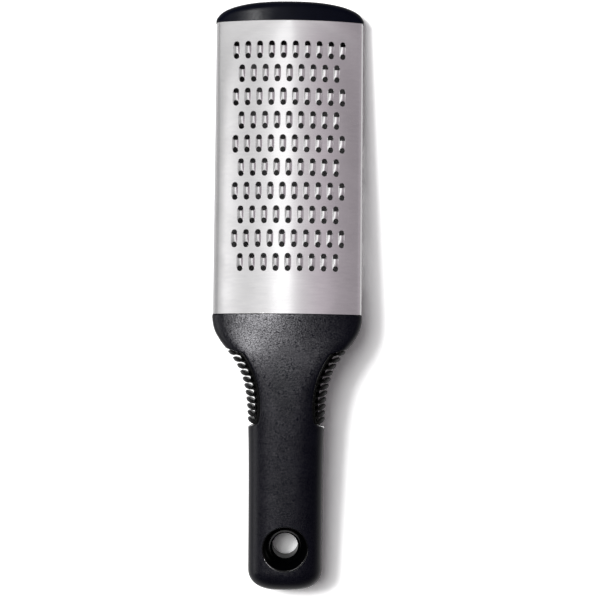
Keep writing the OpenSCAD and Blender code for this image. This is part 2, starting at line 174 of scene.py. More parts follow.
# The place of the plate's own frame
HEAD = (Matrix.Translation((0, JOINT_Y, JOINT_Z))
        @ Matrix.Rotation(-TILT, 4, "X"))

# How finely the forms are divided
GRIP_SIDES = 168
GRIP_RINGS = 150
GRIP_RING_POWER = 1.3
END_RINGS = 26
CUTTER_RINGS = 60
CUTTER_SIDES = 400
EYE_SIDES = 160
LIP_STEPS = 6
DISH_STEPS = 14
EYE_RIM_STEPS = 8
CAP_STEPS = 240
CAP_CROWN_RINGS = 8
CAP_EDGE_RINGS = 16
CAP_WALL_RINGS = 5
PLUG_STEPS = 60
CELL_COLUMNS = 12
BRIDGE_ROWS = 12
MOUTH_ROWS = 4
CELL_ROWS = MOUTH_ROWS + BRIDGE_ROWS
# Places of a tooth's rings of points, from the opening to the cell's edge
CELL_RINGS = (0, 0.05, 0.11, 0.18, 0.26, 0.36, 0.5, 0.74, 1)
PLATE_TOP_ROWS = 10
PLATE_BOTTOM_ROWS = 20
MARGIN_COLUMNS = 8
BEND_STEPS = 14
WALL_STEPS = 6
HEM_STEPS = 8
FLANGE_STEPS = 4
TANG_STEP_ROWS = 6
TANG_ROWS = 12

# How each piece is softened: the size of its new grid, and rounds of smoothing
GRIP_SOFTENING = (0.46, 2)
CORE_SOFTENING = (0.45, 2)
FIN_SOFTENING = (0.24, 2)
FOOT_SOFTENING = (0.25, 3)

# Edges with a larger angle than this stay sharp
GRIP_SHARP_ANGLE = 50
CORE_SHARP_ANGLE = 35
CAP_SHARP_ANGLE = 35
PLATE_SHARP_ANGLE = 32

# Points closer than this become one
WELD = 0.0001
COPY_WELD = 0.0005
PLATE_WELD = 0.001


# Small helpers

def lerp(a, b, t):
    return a + (b - a) * t


def spread(a, b, steps):
    return [lerp(a, b, i / steps) for i in range(steps + 1)]


def smoothstep(a, b, x):
    t = min(1, max(0, (x - a) / (b - a)))
    return t * t * (3 - 2 * t)


def mesh_object(name, points, faces):
    """A new object in the scene."""
    mesh = bpy.data.meshes.new(name)
    mesh.from_pydata([tuple(p) for p in points], [], faces)
    mesh.validate()
    made = bpy.data.objects.new(name, mesh)
    bpy.context.scene.collection.objects.link(made)
    return made


def weld(piece, distance):
    """Joins doubled points and turns the faces the same way."""
    mesh = bmesh.new()
    mesh.from_mesh(piece.data)
    bmesh.ops.remove_doubles(mesh, verts=mesh.verts, dist=distance)
    bmesh.ops.recalc_face_normals(mesh, faces=mesh.faces)
    mesh.to_mesh(piece.data)
    mesh.free()


def grid_faces(rows, columns, closed=False):
    """Quads between rows of points that each have the same number of columns."""
    last = columns if closed else columns - 1
    return [(r * columns + c, r * columns + (c + 1) % columns,
             (r + 1) * columns + (c + 1) % columns, (r + 1) * columns + c)
            for r in range(rows - 1) for c in range(last)]


def closed_form(name, points, faces):
    made = mesh_object(name, points, faces)
    weld(made, WELD)
    return made


def tube(name, rings):
    """A closed form through rings of points, with a flat face at each end."""
    count = len(rings[0])
    points = [p for ring in rings for p in ring]
    faces = grid_faces(len(rings), count, closed=True)
    faces.append(tuple(range(count)))
    faces.append(tuple(len(points) - 1 - i for i in range(count)))
    return closed_form(name, points, faces)


def prism(name, near, far):
    """A closed form between two flat outlines of the same shape."""
    count = len(near)
    faces = grid_faces(2, count, closed=True)
    faces += [tuple(range(count)), tuple(range(count, 2 * count))]
    return closed_form(name, near + far, faces)


def turned_point(matrix, r, z, turn):
    """The place of a point at a radius and a height, turned round a frame's z axis."""
    return matrix @ Vector((r * math.cos(turn), r * math.sin(turn), z))


def turned_tube(name, profile, sides, matrix):
    """A form turned round a frame's z axis from an open profile of (radius, height)."""
    return tube(name, [[turned_point(matrix, r, z, math.tau * i / sides) for i in range(sides)]
                       for r, z in profile])


def turned_ring(name, outline, sides, matrix):
    """A ring turned round a frame's z axis from a closed outline of (radius, height)."""
    points = [turned_point(matrix, r, z, math.tau * i / sides)
              for i in range(sides) for r, z in outline]
    count = len(outline)
    faces = [(i * count + j, (i + 1) % sides * count + j,
              (i + 1) % sides * count + (j + 1) % count, i * count + (j + 1) % count)
             for i in range(sides) for j in range(count)]
    return closed_form(name, points, faces)


def block(name, low, high):
    points = [(x, y, z) for x in (low[0], high[0]) for y in (low[1], high[1])
              for z in (low[2], high[2])]
    faces = [(0, 1, 3, 2), (4, 6, 7, 5), (0, 4, 5, 1), (2, 3, 7, 6), (0, 2, 6, 4), (1, 5, 7, 3)]
    return closed_form(name, points, faces)


def apply_modifiers(piece):
    """Makes the result of a piece's modifiers its mesh."""
    graph = bpy.context.evaluated_depsgraph_get()
    graph.update()
    mesh = bpy.data.meshes.new_from_object(piece.evaluated_get(graph))
    piece.modifiers.clear()
    old = piece.data
    piece.data = mesh
    bpy.data.meshes.remove(old)
    return piece


def combine(piece, other, operation):
    """Cuts another closed form out of a piece, joins it on, or keeps what they share."""
    cut = piece.modifiers.new("combine", "BOOLEAN")
    cut.operation = operation
    cut.solver = "MANIFOLD"
    cut.object = other
    apply_modifiers(piece)
    bpy.data.objects.remove(other)
    return piece


def soften(piece, voxel, rounds):
    """Remeshes a closed piece evenly and rounds its edges a little."""
    grid = piece.modifiers.new("grid", "REMESH")
    grid.mode = "VOXEL"
    grid.voxel_size = voxel
    smooth = piece.modifiers.new("smooth", "SMOOTH")
    smooth.factor = 0.5
    smooth.iterations = rounds
    return apply_modifiers(piece)


def finish_piece(piece, matrix=None, sharp_angle=None):
    """Puts a piece made in millimetres in its place in the shared frame, in metres."""
    piece.data.transform(Matrix.Scale(MM, 4) @ (matrix or Matrix.Identity(4)))
    piece.data.update()
    piece.data.shade_smooth()
    if sharp_angle is not None:
        piece.data.set_sharp_from_angle(angle=math.radians(sharp_angle))
    return piece


def node_copy(name, cad_node):
    """A copy of a CAD node's mesh, in millimetres."""
    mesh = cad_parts[cad_node].data.copy()
    mesh.transform(Matrix.Scale(1 / MM, 4))
    mesh.materials.clear()
    made = bpy.data.objects.new(name, mesh)
    bpy.context.scene.collection.objects.link(made)
    weld(made, COPY_WELD)
    return made


# The handle's outer form; d is a distance behind the joint, along the handle

def neck_share(d):
    return 1 / (1 + ((d + NECK_LEAD) / NECK_MID) ** NECK_POWER)


def half_width(d):
    return lerp(GRIP_W / 2, SHOULDER_HALF_W, neck_share(d))


def spine_slope(d):
    return (math.tan(TILT) + DROOP) * math.exp(-d / HUMP_L) - DROOP


def spine_z(d):
    return (SPINE_Z0 - DROOP * d
            + (math.tan(TILT) + DROOP) * HUMP_L * (1 - math.exp(-d / HUMP_L)))


def handle_frame(d):
    """The handle's own frame at a distance behind the joint."""
    return (Matrix.Translation((0, SPINE_Y0 - d, spine_z(d)))
            @ Matrix.Rotation(-math.atan(spine_slope(d)), 4, "X"))


def sag(x):
    return ARCH_R - math.sqrt(ARCH_R ** 2 - x ** 2)


def section_point(turn, w, h, s):
    """One point of the grip's cross-section, across and up from the middle line."""
    x = w * math.cos(turn)
    p = lerp(GRIP_SECTION_POWERS[0], SHOULDER_SECTION_POWERS[0], s)
    q = lerp(GRIP_SECTION_POWERS[1], SHOULDER_SECTION_POWERS[1], s)
    rise = (h - s * sag(x)) * max(0, 1 - (abs(x) / w) ** p) ** (1 / q)
    return x, math.copysign(rise, math.sin(turn))


def grip_ring(d, plan_share=1, side_share=1):
    s = neck_share(d)
    w = half_width(d) * plan_share
    h = lerp(GRIP_T / 2, SHOULDER_T / 2, s) * side_share
    tilt = math.atan(spine_slope(d))
    ring = []
    for i in range(GRIP_SIDES):
        x, rise = section_point(math.tau * i / GRIP_SIDES, w, h, s)
        ring.append((x, SPINE_Y0 - d + rise * math.sin(tilt), spine_z(d) + rise * math.cos(tilt)))
    return ring


def end_share(u, powers):
    return (1 - u ** powers[0]) ** (1 / powers[1])


def grip_form(name):
    """The grip's closed outer form, without any of its hollows."""
    along = SPINE_L - END_L
    rings = [grip_ring(along * (k / GRIP_RINGS) ** GRIP_RING_POWER) for k in range(GRIP_RINGS + 1)]
    for k in range(1, END_RINGS + 1):
        u = math.sin(math.radians(END_STOP_ANGLE) * k / END_RINGS)
        rings.append(grip_ring(along + END_L * u, end_share(u, END_PLAN_POWERS),
                               end_share(u, END_SIDE_POWERS)))
    return tube(name, rings)


# The hollows for the fins, and the grip

def oblique_block(name, low, high, side, x, y, angle):
    """A block turned round an upright line at (x, y) on one side of the handle."""
    made = block(name, low, high)
    made.data.transform(Matrix.Translation((side * x, y, -GRIP_T))
                        @ Matrix.Rotation(side * math.radians(angle), 4, "Z"))
    return made


def fin_cutter(side, radius):
    """The waisted, turned body that cuts one side of the grip."""
    profile = [(radius + FIN_FLOOR_R - math.sqrt(FIN_FLOOR_R ** 2 - z ** 2), z)
               for z in spread(GRIP_T, -GRIP_T, CUTTER_RINGS)]
    place = (handle_frame(FIN_HOLLOW_D)
             @ Matrix.Translation((side * (FIN_FLOOR_X + FIN_HOLLOW_R), 0, 0)))
    return turned_tube("hollow", profile, CUTTER_SIDES, place)


def fin_hollow(side, inset=0):
    """The hollow on one side of the grip, between two oblique ends, drawn in by an inset."""
    hollow = fin_cutter(side, FIN_HOLLOW_R - inset)
    head = (FIN_T / 2 + FIN_HEAD_GAP - inset) / math.cos(math.radians(FIRST_FIN_ANGLE))
    reach, height = 2 * FIN_END_D, 3 * GRIP_T
    behind_head = oblique_block("behind_head", (-PLATE_W, -reach, 0), (PLATE_W, 0, height), side,
                                half_width(FIRST_FIN_D), SPINE_Y0 - FIRST_FIN_D + head,
                                FIRST_FIN_ANGLE)
    before_end = oblique_block("before_end", (-PLATE_W, 0, 0), (PLATE_W, reach, height), side,
                               half_width(FIN_END_D), SPINE_Y0 - FIN_END_D + inset,
                               -FIN_END_ANGLE)
    combine(hollow, behind_head, "INTERSECT")
    return combine(hollow, before_end, "INTERSECT")


def drum(name, radius, matrix):
    return turned_tube(name, [(radius, 2 * GRIP_T), (radius, -2 * GRIP_T)], EYE_SIDES, matrix)


def build_grip():
    grip = grip_form("soft_grip")
    table = block("table", (-2 * PLATE_W, -2 * HANDLE_L, -PLATE_W), (2 * PLATE_W, 2 * HANDLE_L, 0))
    combine(grip, table, "DIFFERENCE")
    for side in (-1, 1):
        combine(grip, fin_hollow(side), "DIFFERENCE")
    soften(grip, *GRIP_SOFTENING)
    hole = drum("hole", EYE_R + FIT_GAP / 2, handle_frame(HOLE_D_ALONG))
    combine(grip, hole, "DIFFERENCE")
    return finish_piece(grip, sharp_angle=GRIP_SHARP_ANGLE)


# The eye and the core

def arc(centre, radius, start, end, steps):
    turns = [math.radians(angle) for angle in spread(start, end, steps)]
    return [(centre[0] + radius * math.cos(a), centre[1] + radius * math.sin(a)) for a in turns]


def eye_outline():
    """The eye's section, with its rims and ledge rounded."""
    rim = EYE_RIM_W / 2
    bore = HOLE_D / 2
    ledge = EYE_TOP - DISH_DEPTH
    dish_in = bore + LEDGE_W
    dish_out = EYE_R - EYE_RIM_W
    dish = [(lerp(dish_in, dish_out, t - DISH_BULGE * math.sin(math.pi * t)),
             lerp(ledge + LEDGE_RISE, EYE_TOP - rim, t)) for t in spread(0, 1, DISH_STEPS)[:-1]]
    return ([(bore, -EYE_TOP + UNDER_DISH_DEPTH)]
            + arc((bore + EYE_LIP_R, ledge - EYE_LIP_R), EYE_LIP_R, 180, EYE_LIP_END, LIP_STEPS)
            + dish
            + arc((EYE_R - rim, EYE_TOP - rim), rim, 180, 0, EYE_RIM_STEPS)
            + arc((EYE_R - rim, -EYE_TOP + rim), rim, 0, -180, EYE_RIM_STEPS))


def build_core():
    core = node_copy("core_body", "handle_core")
    place = handle_frame(HOLE_D_ALONG)
    combine(core, drum("eye_space", EYE_R + FIT_GAP, place), "DIFFERENCE")
    soften(core, *CORE_SOFTENING)
    combine(core, turned_ring("eye", eye_outline(), EYE_SIDES, place), "UNION")
    return finish_piece(core, sharp_angle=CORE_SHARP_ANGLE)


# The fins and the foot

def fin(side, d, angle):
    """One upright leaf, from its point inwards and towards the handle's end."""
    outline = [(-r, t) for r, t in FIN_PROFILE] + [(-r, -t) for r, t in reversed(FIN_PROFILE)]
    made = prism("fin", *[[(side * x, y, z) for x, y in outline] for z in (-GRIP_T, GRIP_T)])
    made.data.transform(Matrix.Translation((side * half_width(d), SPINE_Y0 - d, spine_z(d)))
                        @ Matrix.Rotation(side * math.radians(angle), 4, "Z"))
    return made


def build_fin_pad(name, side):
    pad = fin_hollow(side, FIT_GAP)
    combine(pad, fin_cutter(side, FIN_HOLLOW_R - FIT_GAP - FIN_PAD_T), "DIFFERENCE")
    last = math.floor((FIN_END_D - FIN_T - FIRST_FIN_D) / FIN_PITCH)
    for i in range(last + 1):
        angle = lerp(FIRST_FIN_ANGLE, LAST_FIN_ANGLE, i / last)
        combine(pad, fin(side, FIRST_FIN_D + i * FIN_PITCH, angle), "UNION")
    combine(pad, fin_hollow(side, FIT_GAP), "INTERSECT")
    combine(pad, grip_form("limit"), "INTERSECT")
    pad.name = name
    soften(pad, *FIN_SOFTENING)
    return finish_piece(pad)


def build_foot():
    foot = node_copy("foot", "foot_pad")
    soften(foot, *FOOT_SOFTENING)
    return finish_piece(foot)


# The cap

def cap_outline_point(turn, margin):
    """A point of the cap's plan outline, shrunk by a margin."""
    c, s = math.cos(turn), math.sin(turn)
    return ((HALF_W + CAP_PROUD - margin) * math.copysign(abs(c) ** CAP_OUTLINE_POWER, c),
            PLATE_L + (CAP_L - margin) * max(0, s) ** CAP_OUTLINE_POWER)


def cap_crown_z(x):
    """The cap's crown, which carries the plate's arch and side bends on."""
    reach = BEND_X + (EDGE_BEND_R + CAP_PROUD) * math.sin(BEND_ANGLE)
    if abs(x) <= reach:
        return -ARCH_R + math.sqrt((ARCH_R + CAP_PROUD) ** 2 - x ** 2)
    return BEND_Z + math.sqrt(max(0, (EDGE_BEND_R + CAP_PROUD) ** 2 - (abs(x) - BEND_X) ** 2))


def cap_form():
    """The cap's outer form: crown, front edge rounded along its outline, and walls."""
    turns = spread(0, math.pi, CAP_STEPS)
    drops = [CAP_EDGE_R * smoothstep(0, CAP_CORNER_SHARE, min(a, math.pi - a) / math.pi)
             for a in turns]
    inner = [cap_outline_point(a, CAP_EDGE_R) for a in turns]
    rings = [[(x, lerp(PLATE_L, y, share), cap_crown_z(x)) for x, y in inner]
             for share in spread(0, 1, CAP_CROWN_RINGS)[:-1]]
    for turn in spread(0, math.pi / 2, CAP_EDGE_RINGS):
        edge = [cap_outline_point(a, CAP_EDGE_R * (1 - math.sin(turn))) for a in turns]
        rings.append([(x, y, cap_crown_z(x) - drop * (1 - math.cos(turn)))
                      for (x, y), drop in zip(edge, drops)])
    wall = rings[-1]
    rings += [[(x, y, lerp(z, CAP_FLOOR_Z, share)) for x, y, z in wall]
              for share in spread(0, 1, CAP_WALL_RINGS)[1:]]
    count, last = len(turns), len(rings) - 1
    faces = grid_faces(len(rings), count)
    faces.append(tuple(range(last * count, (last + 1) * count)))
    faces.append(tuple(range(count)) + tuple(r * count + count - 1 for r in range(1, last + 1))
                 + tuple(r * count for r in range(last, 0, -1)))
    return closed_form("tip_cap", [p for ring in rings for p in ring], faces)


def build_end_cap():
    cap = cap_form()
    half = HALF_W - FLANGE_W
    radius = ARCH_R - SHEET_T - FIT_GAP
    reach = math.asin(half / radius)
    crown = [(radius * math.sin(a), -ARCH_R + radius * math.cos(a))
             for a in spread(-reach, reach, PLUG_STEPS)]
    outline = crown + [(half, CAP_FLOOR_Z), (-half, CAP_FLOOR_Z)]
    plug = prism("plug", *[[(x, y, z) for x, z in outline]
                           for y in (PLATE_L - CAP_PLUG_L, PLATE_L + CAP_PROUD)])
    combine(cap, plug, "UNION")
    slot_y = PLATE_L + CAP_L / 2 - CAP_EDGE_R / 2
    half_slot = TONGUE_T / 2 + FIT_GAP
    slot = block("slot", (-TONGUE_W / 2 - FIT_GAP, slot_y - half_slot, -PLATE_DEPTH),
                 (TONGUE_W / 2 + FIT_GAP, slot_y + half_slot, CAP_FLOOR_Z + TONGUE_H + FIT_GAP))
    combine(cap, slot, "DIFFERENCE")
    return finish_piece(cap, HEAD, CAP_SHARP_ANGLE)


# The plate, in its own frame; a tooth's points are p across and q along from its middle

def arch_point(s, v, z):
    """A point of the plate: s along the arch, v along the plate, z out of it."""
    a = s / ARCH_R
    return ((ARCH_R + z) * math.sin(a), v, -ARCH_R + (ARCH_R + z) * math.cos(a))


def through(stops, x):
    """The value at x of the line through (x, value) stops."""
    if x <= stops[0][0]:
        return stops[0][1]
    for (x0, y0), (x1, y1) in zip(stops, stops[1:]):
        if x <= x1:
            return lerp(y0, y1, (x - x0) / (x1 - x0))
    return stops[-1][1]


def bridge_height(p, q):
    """Height of the metal near a tooth, which is stretched up between its two openings."""
    along = 1 - BRIDGE_FALL * min(1, max(0, 0.5 - q / BRIDGE_L)) ** 2
    beyond = 1 - smoothstep(BRIDGE_L / 2, SLOT_L / 2 - BRIDGE_END_GAP, abs(q))
    return through(BRIDGE_PROFILE, p) * along * beyond


def lower_lip(p):
    """Where the bridge ends over the lower opening, which is a full circle."""
    return -(SLOT_L - SLOT_W) / 2 + math.sqrt(max(0, (SLOT_W / 2) ** 2 - p ** 2))


def slot_outline():
    """The opening's outline, counter-clockwise from its upper left, as (p, q) points."""
    r = SLOT_W / 2
    straight = (SLOT_L - SLOT_W) / 2
    side = spread(straight, BRIDGE_L / 2, MOUTH_ROWS)[:-1]
    side += spread(BRIDGE_L / 2, -straight, BRIDGE_ROWS)
    turns = [math.pi * i / CELL_COLUMNS for i in range(1, CELL_COLUMNS)]
    left = [(-r, q) for q in side]
    low = [(-r * math.cos(a), -straight - r * math.sin(a)) for a in turns]
    right = [(r, q) for q in reversed(side)]
    high = [(r * math.cos(a), straight + r * math.sin(a)) for a in turns]
    return left + low + right + high


def cell_outline():
    """The cell's rectangle, with as many points as the opening's outline has."""
    w, h = TOOTH_STEP / 2, ROW_STEP / 2
    left = [(-w, q) for q in spread(h, -h, CELL_ROWS)]
    low = [(p, -h) for p in spread(-w, w, CELL_COLUMNS)[1:-1]]
    return left + low + [(-p, -q) for p, q in left] + [(-p, -q) for p, q in low]


def tooth_cell():
    """Points (p, q, z) and faces of one tooth with its share of the plate."""
    inner, outer = slot_outline(), cell_outline()
    count = len(inner)
    low_end = range(CELL_ROWS + 1, CELL_ROWS + CELL_COLUMNS)
    high_end = range(2 * CELL_ROWS + CELL_COLUMNS + 1, count)
    points = []
    for t in CELL_RINGS:
        for j, ((p0, q0), (p1, q1)) in enumerate(zip(inner, outer)):
            p, q = lerp(p0, p1, t), lerp(q0, q1, t)
            z = bridge_height(p, q) if t < 1 else 0
            if t == 0 and (j in low_end or j in high_end):
                z -= RIM_ROLL
            points.append((p, q, z))
    faces = grid_faces(len(CELL_RINGS), count, closed=True)
    start = len(points)
    columns = CELL_COLUMNS + 1
    for j in range(BRIDGE_ROWS + 1):
        for p in spread(-SLOT_W / 2, SLOT_W / 2, CELL_COLUMNS):
            q = lerp(BRIDGE_L / 2, lower_lip(p), j / BRIDGE_ROWS)
            points.append((p, q, bridge_height(p, q)))
    for j in range(BRIDGE_ROWS):
        for i in range(CELL_COLUMNS):
            a = start + j * columns + i
            faces.append((a, a + columns, a + columns + 1, a + 1))
    return points, faces


class Sheet:
    """Collects the plate's pieces in the plate's own frame."""

    def __init__(self):
        self.points, self.faces = [], []

    def add(self, points, faces):
        start = len(self.points)
        self.points += points
        self.faces += [tuple(start + i for i in face) for face in faces]

    def grid(self, s_values, v_values):
        self.add([arch_point(s, v, 0) for v in v_values for s in s_values],
                 grid_faces(len(v_values), len(s_values)))


def add_teeth(sheet, columns):
    """Adds the rows of teeth, every second one a tooth short, and returns their places along."""
    cell_points, cell_faces = tooth_cell()
    v_values = []
    for v, row in zip(spread(PLATE_L - FIRST_ROW_INSET, LAST_ROW_INSET, ROW_COUNT - 1),
                      range(ROW_COUNT)):
        rows = spread(v + ROW_STEP / 2, v - ROW_STEP / 2, CELL_ROWS)
        v_values += rows[:-1]
        short = row % 2
        count = TOOTH_COUNT - short
        for i in range(count):
            s = (i - (count - 1) / 2) * TOOTH_STEP
            sheet.add([arch_point(s + p, v + q, z) for p, q, z in cell_points], cell_faces)
        if short:
            sheet.grid(columns[:CELL_COLUMNS // 2 + 1], rows)
            sheet.grid(columns[-CELL_COLUMNS // 2 - 1:], rows)
    return v_values


def edge_section():
    """The cross-section from the end of the arch round to the turned-in edge, as (x, z)."""
    bend = [(BEND_X + EDGE_BEND_R * math.sin(a), BEND_Z + EDGE_BEND_R * math.cos(a))
            for a in spread(BEND_ANGLE, math.pi / 2, BEND_STEPS)]
    wall_end = -PLATE_DEPTH + HEM_R
    wall = [(HALF_W, z) for z in spread(BEND_Z, wall_end, WALL_STEPS)[1:]]
    hem = [(HALF_W - HEM_R + HEM_R * math.cos(a), wall_end - HEM_R * math.sin(a))
           for a in spread(0, math.pi / 2, HEM_STEPS)[1:]]
    flat = [(x, -PLATE_DEPTH)
            for x in spread(HALF_W - HEM_R, HALF_W - FLANGE_W, FLANGE_STEPS)[1:]]
    return bend + wall + hem + flat


def add_tang(sheet, columns):
    """The stepped tang, which the handle hides."""
    inner = [s for s in columns if abs(s) <= TANG_W / 2]
    path = [(0, 0), (-SHEET_T, 0)]
    path += [(-SHEET_T, z) for z in spread(0, -TANG_STEP, TANG_STEP_ROWS)[1:]]
    path += [(v, -TANG_STEP) for v in spread(-SHEET_T, -TANG_L, TANG_ROWS)[1:]]
    sheet.add([arch_point(s, v, z) for v, z in path for s in inner],
              grid_faces(len(path), len(inner)))


def make_outward(plate):
    """Turns every face of the open sheet the same way, up at the crown."""
    mesh = bmesh.new()
    mesh.from_mesh(plate.data)
    bmesh.ops.recalc_face_normals(mesh, faces=mesh.faces)
    mesh.faces.ensure_lookup_table()
    crown = max(mesh.faces, key=lambda f: f.calc_center_median().z)
    if crown.normal.z < 0:
        bmesh.ops.reverse_faces(mesh, faces=mesh.faces)
    mesh.to_mesh(plate.data)
    mesh.free()


def build_plate():
    sheet = Sheet()
    side = TEETH_W / 2 + TOOTH_STEP / 2
    columns = spread(-side, side, TOOTH_COUNT * CELL_COLUMNS)
    v_teeth = add_teeth(sheet, columns)
    top = spread(PLATE_L, PLATE_L - FIRST_ROW_INSET + ROW_STEP / 2, PLATE_TOP_ROWS)
    bottom = spread(LAST_ROW_INSET - ROW_STEP / 2, 0, PLATE_BOTTOM_ROWS)
    sheet.grid(columns, top)
    sheet.grid(columns, bottom)
    v_all = top[:-1] + v_teeth + bottom
    margin = spread(side, ARCH_R * BEND_ANGLE, MARGIN_COLUMNS)
    section = edge_section()
    for sign in (-1, 1):
        sheet.grid([sign * s for s in margin], v_all)
        sheet.add([(sign * x, v, z) for v in v_all for x, z in section],
                  grid_faces(len(v_all), len(section)))
    add_tang(sheet, columns)
    plate = mesh_object("steel_plate", sheet.points, sheet.faces)
    weld(plate, PLATE_WELD)
    make_outward(plate)
    thick = plate.modifiers.new("thickness", "SOLIDIFY")
    thick.thickness = SHEET_T
    thick.offset = -1
    thick.use_even_offset = True
    apply_modifiers(plate)
    return finish_piece(plate, HEAD, PLATE_SHARP_ANGLE)


# Shader nodes

# The range that holds most of a noise's values
NOISE_RANGE = (0.3, 0.7)


def empty_tree(owner):
    """The node tree of a material or a world, with nothing in it."""
    owner.use_nodes = True
    owner.node_tree.nodes.clear()
    return owner.node_tree


def node(tree, kind, settings=None, **inputs):
    """A new node. An input is named with _ for each space in its name, or by i and its number."""
    made = tree.nodes.new(kind)
    for key, value in (settings or {}).items():
        setattr(made, key, value)
    for key, value in inputs.items():
        numbered = key[0] == "i" and key[1:].isdigit()
        socket = made.inputs[int(key[1:]) if numbered else key.replace("_", " ")]
        if isinstance(value, bpy.types.NodeSocket):
            tree.links.new(value, socket)
        else:
            socket.default_value = value
    return made


def maths(tree, operation, *values):
    inputs = {"i%d" % i: value for i, value in enumerate(values)}
    return node(tree, "ShaderNodeMath", {"operation": operation}, **inputs).outputs[0]


def remap(tree, value, low, high, to_low, to_high):
    return node(tree, "ShaderNodeMapRange", Value=value, From_Min=low, From_Max=high,
                To_Min=to_low, To_Max=to_high).outputs["Result"]


def vary(tree, pattern, low, high):
    """A noise spread between two values."""
    return remap(tree, pattern, *NOISE_RANGE, low, high)


def mix_colour(tree, share, a, b, blend="MIX"):
    """A mix of two colours, each written out or from a socket."""
    a, b = (c if isinstance(c, bpy.types.NodeSocket) else (*c, 1) for c in (a, b))
    return node(tree, "ShaderNodeMix", {"data_type": "RGBA", "blend_type": blend},
                i0=share, i6=a, i7=b).outputs[2]


def mottled(tree, pattern, colour, change):
    """A colour that a noise makes darker and lighter by a share."""
    return mix_colour(tree, vary(tree, pattern, 0, 1), [c * (1 - change) for c in colour],
                      [c * (1 + change) for c in colour])


def place_mm(tree, scale=(1, 1, 1)):
    """The place on the object in millimetres, stretched by a scale."""
    where = node(tree, "ShaderNodeTexCoord").outputs["Object"]
    return node(tree, "ShaderNodeMapping", Vector=where,
                Scale=[k / MM for k in scale]).outputs["Vector"]


def noise(tree, where, size, detail=2, roughness=0.5):
    """Noise whose blobs are about the given size in millimetres, from 0 to 1."""
    return node(tree, "ShaderNodeTexNoise", Vector=where, Scale=1 / size, Detail=detail,
                Roughness=roughness).outputs["Fac"]


def bump(tree, height, strength, distance, under=None):
    made = node(tree, "ShaderNodeBump", Height=height, Strength=strength, Distance=distance * MM)
    if under:
        tree.links.new(under, made.inputs["Normal"])
    return made.outputs["Normal"]


# The materials

GRIP_RUBBER = {"colour": (0.0002, 0.0002, 0.0005), "grain": 0.36, "depth": 0.02, "rough": 0.34,
               "specular": 0.5, "sheen": 0.25}
FOOT_RUBBER = {"colour": (0.012, 0.012, 0.013), "grain": 0.3, "depth": 0.03, "rough": 0.6,
               "specular": 0.4, "sheen": 0.0}
FIN_PLASTIC = {"colour": (0.002, 0.002, 0.002), "rough": 0.28, "specular": 0.13, "dust": 0.04}
CORE_PLASTIC = {"colour": (0.0006, 0.0006, 0.0008), "rough": 0.16, "specular": 0.3, "dust": 0.04}
CAP_PLASTIC = {"colour": (0.0014, 0.0018, 0.0045), "rough": 0.17, "specular": 0.06, "dust": 0.02}
# The steel's colour between its streaks and in them
STEEL_COLOURS = (0.775, 0.765, 0.775), (0.815, 0.805, 0.81)
# Colour of the glints in the rubber's grain, and where in the noise they begin and are full
GLINT_COLOUR = (0.165, 0.163, 0.17)
GLINT_RANGE = (0.36, 0.64)


def new_material(name, **sockets):
    """A material with one Principled shader, whose plain values are set on its own sockets."""
    made = bpy.data.materials.new(name)
    tree = empty_tree(made)
    shader = node(tree, "ShaderNodeBsdfPrincipled", **sockets)
    node(tree, "ShaderNodeOutputMaterial", Surface=shader.outputs["BSDF"])
    return made, tree, shader


def steel_material():
    """Steel brushed across the plate, with fine lines, wider streaks and faint smudges."""
    made, tree, shader = new_material("brushed_steel", Metallic=1.0, Anisotropic=0.9,
                                      Anisotropic_Rotation=0.25)
    lines = noise(tree, place_mm(tree, (0.02, 1, 1)), size=0.09, detail=3, roughness=0.7)
    streaks = noise(tree, place_mm(tree, (0.01, 1, 1)), size=1.1)
    smudges = noise(tree, place_mm(tree), size=14, detail=3)
    colour = mix_colour(tree, vary(tree, streaks, 0, 1), *STEEL_COLOURS)
    tree.links.new(colour, shader.inputs["Base Color"])
    worn = remap(tree, smudges, 0.35, 0.65, 0.205, 0.235)
    rough = maths(tree, "ADD", worn, vary(tree, lines, -0.015, 0.02))
    tree.links.new(rough, shader.inputs["Roughness"])
    relief = bump(tree, lines, strength=0.12, distance=0.006)
    tree.links.new(relief, shader.inputs["Normal"])
    tangent = node(tree, "ShaderNodeTangent", {"direction_type": "RADIAL", "axis": "Y"})
    tree.links.new(tangent.outputs[0], shader.inputs["Tangent"])
    return made


def rubber_material(name, colour, grain, depth, rough, specular, sheen):
    """Moulded soft plastic with a fine, sparkling grain."""
    made, tree, shader = new_material(name, Specular_IOR_Level=specular, Sheen_Weight=sheen,
                                      Sheen_Roughness=0.15)
    where = place_mm(tree)
    fine = noise(tree, where, grain, detail=0)
    clouds = noise(tree, where, size=9, detail=3)
    cells = node(tree, "ShaderNodeTexVoronoi", Vector=where, Scale=1 / (grain * 1.6))
    glints = mix_colour(tree, remap(tree, fine, *GLINT_RANGE, 0, 1), (0, 0, 0), GLINT_COLOUR)
    tree.links.new(glints, shader.inputs["Specular Tint"])
    tree.links.new(mottled(tree, clouds, colour, 0.12), shader.inputs["Base Color"])
    worn = maths(tree, "ADD", vary(tree, clouds, rough - 0.02, rough + 0.02),
                 vary(tree, fine, -0.05, 0.05))
    tree.links.new(worn, shader.inputs["Roughness"])
    under = bump(tree, cells.outputs["Distance"], strength=1, distance=depth)
    relief = bump(tree, fine, strength=1, distance=depth, under=under)
    tree.links.new(relief, shader.inputs["Normal"])
    return made


